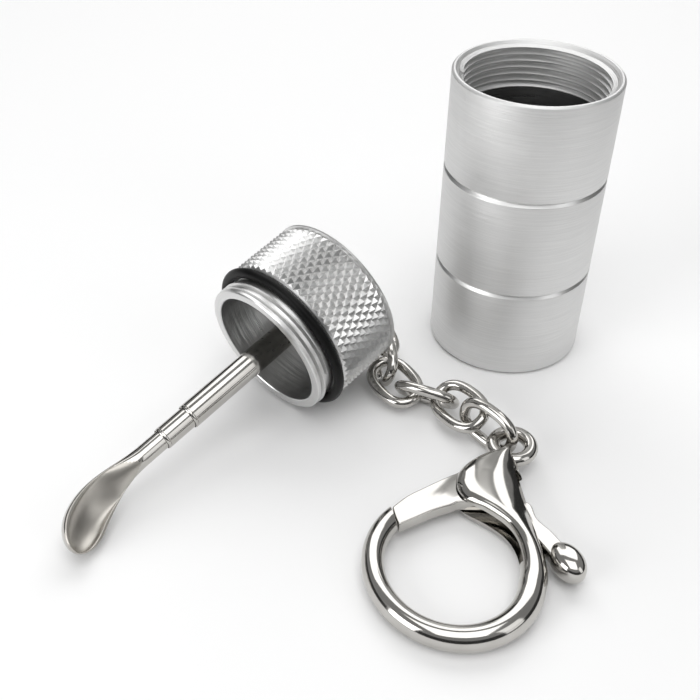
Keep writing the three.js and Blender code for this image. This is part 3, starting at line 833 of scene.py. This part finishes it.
# %% Spoon
SHANK = 1.37
SHANK_ROOT = 16.6
BOWL_START = 38.1
BOWL_LENGTH = 14.6
BOWL_HALF_WIDTH = 2.95
BOWL_DEPTH = 2.9
HOLLOW_DEPTH = 1.1
RIM_SHARE = 0.2
RIM_ROUND = 0.22
RIM_STEPS = 5
BOWL_HOOK = 4.9
BOWL_BEND = 3
BOWL_ROLL = radians(30.4)
HOLLOW_SIDE = Vector((cos(BOWL_ROLL), sin(BOWL_ROLL), 0))
BOWL_WIDEST = 0.75
BOWL_STATIONS = 60
HOLLOW_FACING = 0.3
HOLLOW_FROM = 38.6
HOLLOW_TAPER = 5
TIP_SHARE = 0.998
SPOON_SHARP = 50


def eased(value):
    value = min(max(value, 0), 1)
    return value * value * (3 - 2 * value)


def mixed(start, end, share):
    return start + (end - start) * share


def spoon_section(share):
    """Across and up, from one rim round the back to the other and home over the hollow."""
    opening = eased(share / BOWL_WIDEST)
    past = max(0, (share - BOWL_WIDEST) / (1 - BOWL_WIDEST))
    closing = sqrt(1 - past * past)
    width = mixed(SHANK, BOWL_HALF_WIDTH, opening) * closing
    depth = mixed(SHANK, BOWL_DEPTH, opening) * closing
    inner_width = width * (1 - RIM_SHARE * opening)
    inner_depth = mixed(-SHANK, HOLLOW_DEPTH * closing, opening)
    rim_middle, rim_half = (width + inner_width) / 2, (width - inner_width) / 2
    angles = [pi * (step + 0.5) / SECTION_STEPS for step in range(SECTION_STEPS)]
    rim_angles = [pi * (step + 1) / (RIM_STEPS + 1) for step in range(RIM_STEPS)]
    back = [(width * cos(angle), -depth * sin(angle)) for angle in angles]
    rim_height = RIM_ROUND * opening * closing
    rim = [(rim_middle + rim_half * cos(angle), rim_height * sin(angle)) for angle in rim_angles]
    hollow = [(inner_width * cos(angle), -inner_depth * sin(angle)) for angle in reversed(angles)]
    return back + [(-x, y) for x, y in rim] + hollow + rim[::-1]


def spoon_ring(share, height=None):
    middle = Vector((BOWL_HOOK * share**BOWL_BEND, 0, BOWL_START + BOWL_LENGTH * share))
    if height is not None:
        middle.z = height
    along = Vector((BOWL_HOOK * BOWL_BEND * share ** (BOWL_BEND - 1), 0, BOWL_LENGTH)).normalized()
    up = (HOLLOW_SIDE - along * HOLLOW_SIDE.dot(along)).normalized()
    across = along.cross(up)
    return [middle + across * x + up * y for x, y in spoon_section(share)]


def spoon():
    sections = [spoon_ring(0, SHANK_ROOT)]
    for station in range(BOWL_STATIONS + 1):
        sections.append(spoon_ring(sin(station / BOWL_STATIONS * pi / 2) * TIP_SHARE))
    mesh = drawn(sections)
    for face in mesh.faces:
        share = eased((face.calc_center_median().z - HOLLOW_FROM) / HOLLOW_TAPER)
        face.material_index = 1 if face.normal.dot(HOLLOW_SIDE) > mixed(1, HOLLOW_FACING, share) else 0
    scoop = as_object("spoon_scoop", mesh, cap_place, plate_finish, SPOON_SHARP)
    scoop.data.materials.append(hollow_finish)
    return scoop


set_down(spoon(), "spoon", "bright_plate", "spoon")

# %% [markdown]
# ## Screw eye
# A small eye in the middle of the cap's closed end holds the chain: a wire ring on a collar, with its screw
# through the end wall into the plug.

# %% Screw eye
EYE_RING = 1.95
EYE_WIRE = 1.3
EYE_REACH = 3.0
EYE_STEM = [
    (0, -1.05), (0.8, -1.05), (0.8, -0.8), (1.7, -0.8), (1.7, -0.3), (0.8, -0.3), (0.8, 6.3), (0, 6.3),
]
STEM_ROUND = 0.1


def joined(name, first, second, operation="UNION"):
    """Two objects as one mesh, joined or cut."""
    change = first.modifiers.new("join", "BOOLEAN")
    change.operation = operation
    change.solver = "EXACT"
    change.object = second
    finished = bpy.data.meshes.new_from_object(first.evaluated_get(bpy.context.evaluated_depsgraph_get()))
    finished.name = name
    first.modifiers.remove(change)
    first.data = finished
    bpy.data.objects.remove(second)
    return first


def screw_eye():
    ring = ring_of(EYE_RING, EYE_WIRE, TUBE_STEPS)
    stand = Matrix.Translation((0, 0, -EYE_REACH)) @ Matrix.Rotation(pi / 2, 4, "Y")
    bmesh.ops.transform(ring, matrix=stand, verts=ring.verts)
    stem = turned(EYE_STEM, PLUG_STEPS)
    polish(stem, STEM_ROUND)
    eye = as_object("screw_eye", ring, cap_place, plate_finish)
    return joined("screw_eye", eye, as_object("eye_stem", stem, cap_place, plate_finish))


set_down(screw_eye(), "cap", "bright_plate", "cap_screw_eye")

# %% [markdown]
# ## Chain
# Every link is the same wire bent into an oval. A ring of wire is spun and then drawn out lengthwise, so
# that its round section stays round. Each copy is set down where its own solid lies.

# %% Chain links
LINK_WIRE = 1.6
LINK_LONG = 4.25
LINK_WIDE = 2.7
LINK_ROUNDNESS = 2.45
LINK_STEPS = 72
LINK_SIDES = 20
TURN_STEP = 0.01
LINKS = 7


def oval_point(angle):
    """A point of the link's middle line: an ellipse with fuller ends."""
    along = copysign(abs(cos(angle)) ** (2 / LINK_ROUNDNESS), cos(angle))
    aside = copysign(abs(sin(angle)) ** (2 / LINK_ROUNDNESS), sin(angle))
    return Vector((LINK_LONG * along, LINK_WIDE * aside, 0))


def link():
    mesh = ring_of(LINK_WIDE, LINK_WIRE, LINK_STEPS, LINK_SIDES)
    for point in mesh.verts:
        angle = atan2(point.co.y, point.co.x)
        off, up = point.co.xy.length - LINK_WIDE, point.co.z
        ahead, behind = oval_point(angle + TURN_STEP), oval_point(angle - TURN_STEP)
        along = (ahead - behind).normalized()
        point.co = oval_point(angle) + Vector((along.y, -along.x, 0)) * off + Vector((0, 0, up))
    tidy(mesh)
    return mesh


for number in range(1, LINKS + 1):
    node = f"chain_link_{number}"
    piece = as_object(f"link_{number}", link(), link_frame(node), plate_finish)
    set_down(piece, f"link_{number}", "bright_plate", node)

# %% [markdown]
# ## Clasp
# The clasp is cast: an oval bar bends into a hook, and at the root it widens into a domed shield with a
# slot through it for the gate. One skin is drawn from the hook's tip to the tail. Its two edges are curves,
# and the section between them is an ellipse that grows squarer and taller towards the shield. The slot and
# the hook's tip are then cut, and the eye is joined on.

# %% Clasp outline
HOOK_RADIUS = 10.0
HOOK_OVAL = 0.036
HOOK_OVAL_ANGLE = radians(-35)
HOOK_HALF_WIDTH = 1.6
HOOK_HALF_HEIGHT = 1.8
HOOK_TAPER = 0.11
HOOK_THICKEST_ANGLE = radians(39)
HOOK_FROM = radians(-204)
HOOK_TO = radians(6)
HOOK_STATIONS = 110
SHIELD_STATIONS = 64
SHIELD_HALF_HEIGHT = 2.45
TAIL_HALF_HEIGHT = 1.75
RISE_END = 0.6
FALL_START = 0.75
DOME_LEVEL = 0.7
DOME_CROWN = 0.42
DOME_OUTER = 1.8
DOME_INNER = 3.0
INNER_EDGE = [
    (8.19, 1.15), (7.95, 2.6), (7.35, 4.3), (6.4, 6.0), (5.2, 7.35), (3.7, 8.3), (2.1, 8.85), (0.4, 9.25),
    (-1.4, 9.5), (-2.9, 10.05), (-4.2, 11.35), (-4.8, 13.2), (-4.7, 15.0), (-4.0, 17.0), (-2.6, 19.1),
    (-0.8, 20.6),
]
OUTER_EDGE = [
    (11.66, 1.64), (11.45, 2.9), (11.05, 4.1), (10.5, 5.3), (9.85, 6.6), (9.2, 7.8), (8.5, 9.1),
    (7.8, 10.4), (7.1, 11.7), (6.3, 13.1), (5.45, 14.5), (4.6, 15.9), (3.75, 17.25), (2.9, 18.6),
    (2.0, 19.9), (1.0, 20.8),
]


def hook_point(angle, side):
    """A point of the hook's plan, off its middle line by a share of the bar's half width."""
    radius = HOOK_RADIUS * (1 + HOOK_OVAL * cos(2 * (angle - HOOK_OVAL_ANGLE)))
    radius += side * HOOK_HALF_WIDTH * hook_share(angle)
    return Vector((radius * cos(angle), radius * sin(angle)))


def hook_share(angle):
    return 1 + HOOK_TAPER * cos(angle - HOOK_THICKEST_ANGLE)


def along_points(points, share):
    """A smooth curve through points, at a share of its way."""
    spot = share * (len(points) - 1)
    first = min(int(spot), len(points) - 2)
    part = spot - first
    before = Vector(points[max(first - 1, 0)])
    start, end = Vector(points[first]), Vector(points[first + 1])
    after = Vector(points[min(first + 2, len(points) - 1)])
    leave, arrive = (end - before) / 2, (after - start) / 2
    bend = start * (2 * part**3 - 3 * part**2 + 1) + end * (3 * part**2 - 2 * part**3)
    return bend + leave * (part**3 - 2 * part**2 + part) + arrive * (part**3 - part**2)


def oval(inner, outer, half_height, dome=0.0, sides=48):
    """A section between two edge points: an ellipse, or a dome that leans to its inner edge."""
    level = -DOME_LEVEL * dome
    crown = mixed(0.5, DOME_CROWN, dome)
    section = []
    for side in range(sides):
        angle = 2 * pi * side / sides
        across, up = cos(angle), sin(angle)
        squareness = mixed(2, DOME_OUTER if across > 0 else DOME_INNER, dome)
        wide = abs(across) ** (2 / squareness)
        tall = abs(up) ** (2 / squareness)
        share = crown + wide * (1 - crown) if across > 0 else crown - wide * crown
        flat = inner + (outer - inner) * share
        height = level + tall * (half_height - level) if up > 0 else level - tall * (half_height + level)
        section.append(Vector((flat.x, flat.y, height)))
    return section


def clasp_sections():
    sections = []
    for station in range(HOOK_STATIONS):
        angle = mixed(HOOK_FROM, HOOK_TO, station / HOOK_STATIONS)
        height = HOOK_HALF_HEIGHT * hook_share(angle)
        sections.append(oval(hook_point(angle, -1), hook_point(angle, 1), height))
    root_height = HOOK_HALF_HEIGHT * hook_share(HOOK_TO)
    for station in range(SHIELD_STATIONS + 1):
        share = station / SHIELD_STATIONS
        rise = eased(share / RISE_END)
        fall = eased((share - FALL_START) / (1 - FALL_START))
        height = mixed(mixed(root_height, SHIELD_HALF_HEIGHT, rise), TAIL_HALF_HEIGHT, fall)
        inner, outer = along_points(INNER_EDGE, share), along_points(OUTER_EDGE, share)
        sections.append(oval(inner, outer, height, rise))
    return sections


print("clasp stations", HOOK_STATIONS + SHIELD_STATIONS + 1)

# %% Clasp body
SLOT_HALF = 1.15
SLOT_REACH = 20
SLOT_SIDES = [(SLOT_REACH, 18.2), (-SLOT_REACH, 18.2), (-SLOT_REACH, 6), (0, 6)]
SLOT_ARC = 10
SLOT_ANGLES = (radians(20), radians(48))
GATE_REACH = 14.9
CUT_ANGLES = (radians(190), radians(240))
CUT_HEEL = (-5.6, 7.9)
CUT_HALF = 4
CLASP_EYE = Vector((0.05, 22.9, 0))
CLASP_EYE_RING = 2.65
CLASP_EYE_WIRE = 2.0
CLASP_SHARP = 35


def prism(outline, half_height):
    """An outline in the plane, drawn up and down."""
    mesh = bmesh.new()
    face = mesh.faces.new([mesh.verts.new((x, y, -half_height)) for x, y in outline])
    grown = bmesh.ops.extrude_face_region(mesh, geom=[face])["geom"]
    bmesh.ops.translate(mesh, verts=parts_of(grown, bmesh.types.BMVert), vec=(0, 0, 2 * half_height))
    bmesh.ops.recalc_face_normals(mesh, faces=mesh.faces)
    return mesh


def fan(centre, radius, start, end, steps=24):
    """A pie slice about a point."""
    turns = [mixed(start, end, step / steps) for step in range(steps + 1)]
    arc = [(centre.x + radius * cos(turn), centre.y + radius * sin(turn)) for turn in turns]
    return [tuple(centre)] + arc


def clasp_body():
    body = as_object("clasp_hook", drawn(clasp_sections()), clasp_place, plate_finish)
    arc = fan(Vector((0, 0)), SLOT_ARC, *SLOT_ANGLES)[1:]
    slot_mesh = prism(SLOT_SIDES + arc + [(SLOT_REACH, arc[-1][1])], SLOT_HALF)
    slot = as_object("slot_cutter", slot_mesh, clasp_place, plate_finish)
    joined("clasp_hook", body, slot, "DIFFERENCE")
    sweep = prism(fan(PIVOT, GATE_REACH, *CUT_ANGLES)[1:] + [CUT_HEEL], CUT_HALF)
    joined("clasp_hook", body, as_object("tip_cutter", sweep, clasp_place, plate_finish), "DIFFERENCE")
    eye = ring_of(CLASP_EYE_RING, CLASP_EYE_WIRE, LINK_STEPS)
    bmesh.ops.translate(eye, verts=eye.verts, vec=CLASP_EYE)
    joined("clasp_hook", body, as_object("clasp_eye", eye, clasp_place, plate_finish))
    smoothed(body.data, CLASP_SHARP)
    return body


set_down(clasp_body(), "clasp", "bright_plate", "clasp_body")

# %% [markdown]
# ## Gate
# The gate is a flat stamped arm that closes the hook. Behind its pin it runs on through the slot as a lever
# and ends in an egg-shaped knob for the thumb. The outline is drawn once and thickened, the knob, a
# stretched ball, is joined to it, and the pin's hole is cut.

# %% Gate
GATE_HALF = 0.9
GATE_TIP = 14.6
GATE_TIP_ANGLES = (radians(214), radians(226.2))
GATE_TIP_STEPS = 8
GATE_ROUND = 0.2
GATE_INNER_EDGE = [(-6.9, 4.5), (-5.1, 6.9), (-3.5, 8.6), (-2.2, 9.8), (3, 11.2), (8.6, 7.9), (12.2, 5.2)]
GATE_OUTER_EDGE = [
    (13.4, 7.4), (11.2, 9.0), (9.4, 10.2), (7.3, 11.3), (5.8, 13.2), (3.9, 13.6), (1.9, 15.6), (-0.7, 15.9),
    (-3.4, 15.8), (-5.1, 13.8), (-6, 12.6), (-7.8, 9.9), (-9.3, 7.5),
]
KNOB = Vector((2.85, 2.0, 1.9))
KNOB_PLACE = Vector((12.77, 6.86, 0))
KNOB_ANGLE = radians(-37)
KNOB_SQUARENESS = 2.5
KNOB_POLE = 1e-6
PIN_HOLE = 0.95


def smooth_run(points, steps=6):
    """A smooth curve through points, as more points."""
    count = steps * (len(points) - 1)
    return [tuple(along_points(points, step / count)) for step in range(count + 1)]


def gate_outline():
    tip = fan(PIVOT, GATE_TIP, *GATE_TIP_ANGLES, GATE_TIP_STEPS)[1:]
    lower = smooth_run([tip[-1]] + GATE_INNER_EDGE)
    upper = smooth_run(GATE_OUTER_EDGE + [tip[0]])
    return tip + lower[1:] + upper[:-1]


def knob():
    mesh = bmesh.new()
    bmesh.ops.create_uvsphere(mesh, u_segments=48, v_segments=32, radius=1)
    for point in mesh.verts:
        flat, tall = point.co.xy.length, point.co.z
        if flat > KNOB_POLE:
            point.co.xy *= flat ** (2 / KNOB_SQUARENESS - 1)
        point.co.z = copysign(abs(tall) ** (2 / KNOB_SQUARENESS), tall)
    turn = Matrix.Rotation(KNOB_ANGLE, 4, "Z")
    shape = Matrix.Translation(KNOB_PLACE) @ turn @ Matrix.Diagonal((*KNOB, 1))
    bmesh.ops.transform(mesh, matrix=shape, verts=mesh.verts)
    return mesh


def gate():
    arm_mesh = prism(gate_outline(), GATE_HALF)
    polish(arm_mesh, GATE_ROUND, sharper_than=50, segments=3)
    arm = as_object("clasp_gate_arm", arm_mesh, clasp_place, plate_finish, CLASP_SHARP)
    joined("clasp_gate_arm", arm, as_object("knob", knob(), clasp_place, plate_finish))
    hole_mesh = prism(fan(PIVOT, PIN_HOLE, 0, 2 * pi)[1:-1], 2 * GATE_HALF)
    hole = as_object("hole_cutter", hole_mesh, clasp_place, plate_finish)
    joined("clasp_gate_arm", arm, hole, "DIFFERENCE")
    smoothed(arm.data, CLASP_SHARP)
    return arm


set_down(gate(), "gate", "bright_plate", "clasp_gate")

# %% [markdown]
# ## Pin and spring
# Both are out of sight between the cheeks. The pin keeps its solid and gets a steel finish. The spring is a
# wire circle spun with a rise.

# %% Pin and spring
SPRING_RADIUS = 0.5
SPRING_WIRE = 0.25
SPRING_TURNS = 4
SPRING_STEPS = 24
SPRING_SIDES = 10
SPRING_FROM = Vector((1.5, 17.2, 0))
SPRING_TO = Vector((3.8, 14.0, 0))


def spring():
    reach = SPRING_TO - SPRING_FROM
    steps = SPRING_STEPS * SPRING_TURNS
    mesh = bmesh.new()
    bmesh.ops.create_circle(mesh, segments=SPRING_SIDES, radius=SPRING_WIRE / 2, cap_ends=True)
    stand = Matrix.Translation((SPRING_RADIUS, 0, 0)) @ Matrix.Rotation(pi / 2, 4, "X")
    bmesh.ops.transform(mesh, matrix=stand, verts=mesh.verts)
    bmesh.ops.spin(
        mesh, geom=mesh.verts[:] + mesh.edges[:] + mesh.faces[:], cent=(0, 0, 0), axis=(0, 0, 1),
        dvec=(0, 0, reach.length / steps), angle=2 * pi * SPRING_TURNS, steps=steps,
    )
    tidy(mesh)
    lay = Matrix.Translation(SPRING_FROM) @ reach.to_track_quat("Z", "Y").to_matrix().to_4x4()
    bmesh.ops.transform(mesh, matrix=lay, verts=mesh.verts)
    return as_object("gate_spring", mesh, clasp_place, steel_finish)


spring_piece = set_down(spring(), "clasp", "plain_steel", "clasp_spring")
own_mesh(spring_piece)
pin = frame["nodes"]["clasp_pivot_pin"]
pin.data.materials.clear()
pin.data.materials.append(steel_finish)
print("pin finish", steel_finish.name)

# %% [markdown]
# ## End

# %% End
print("all pieces set down")
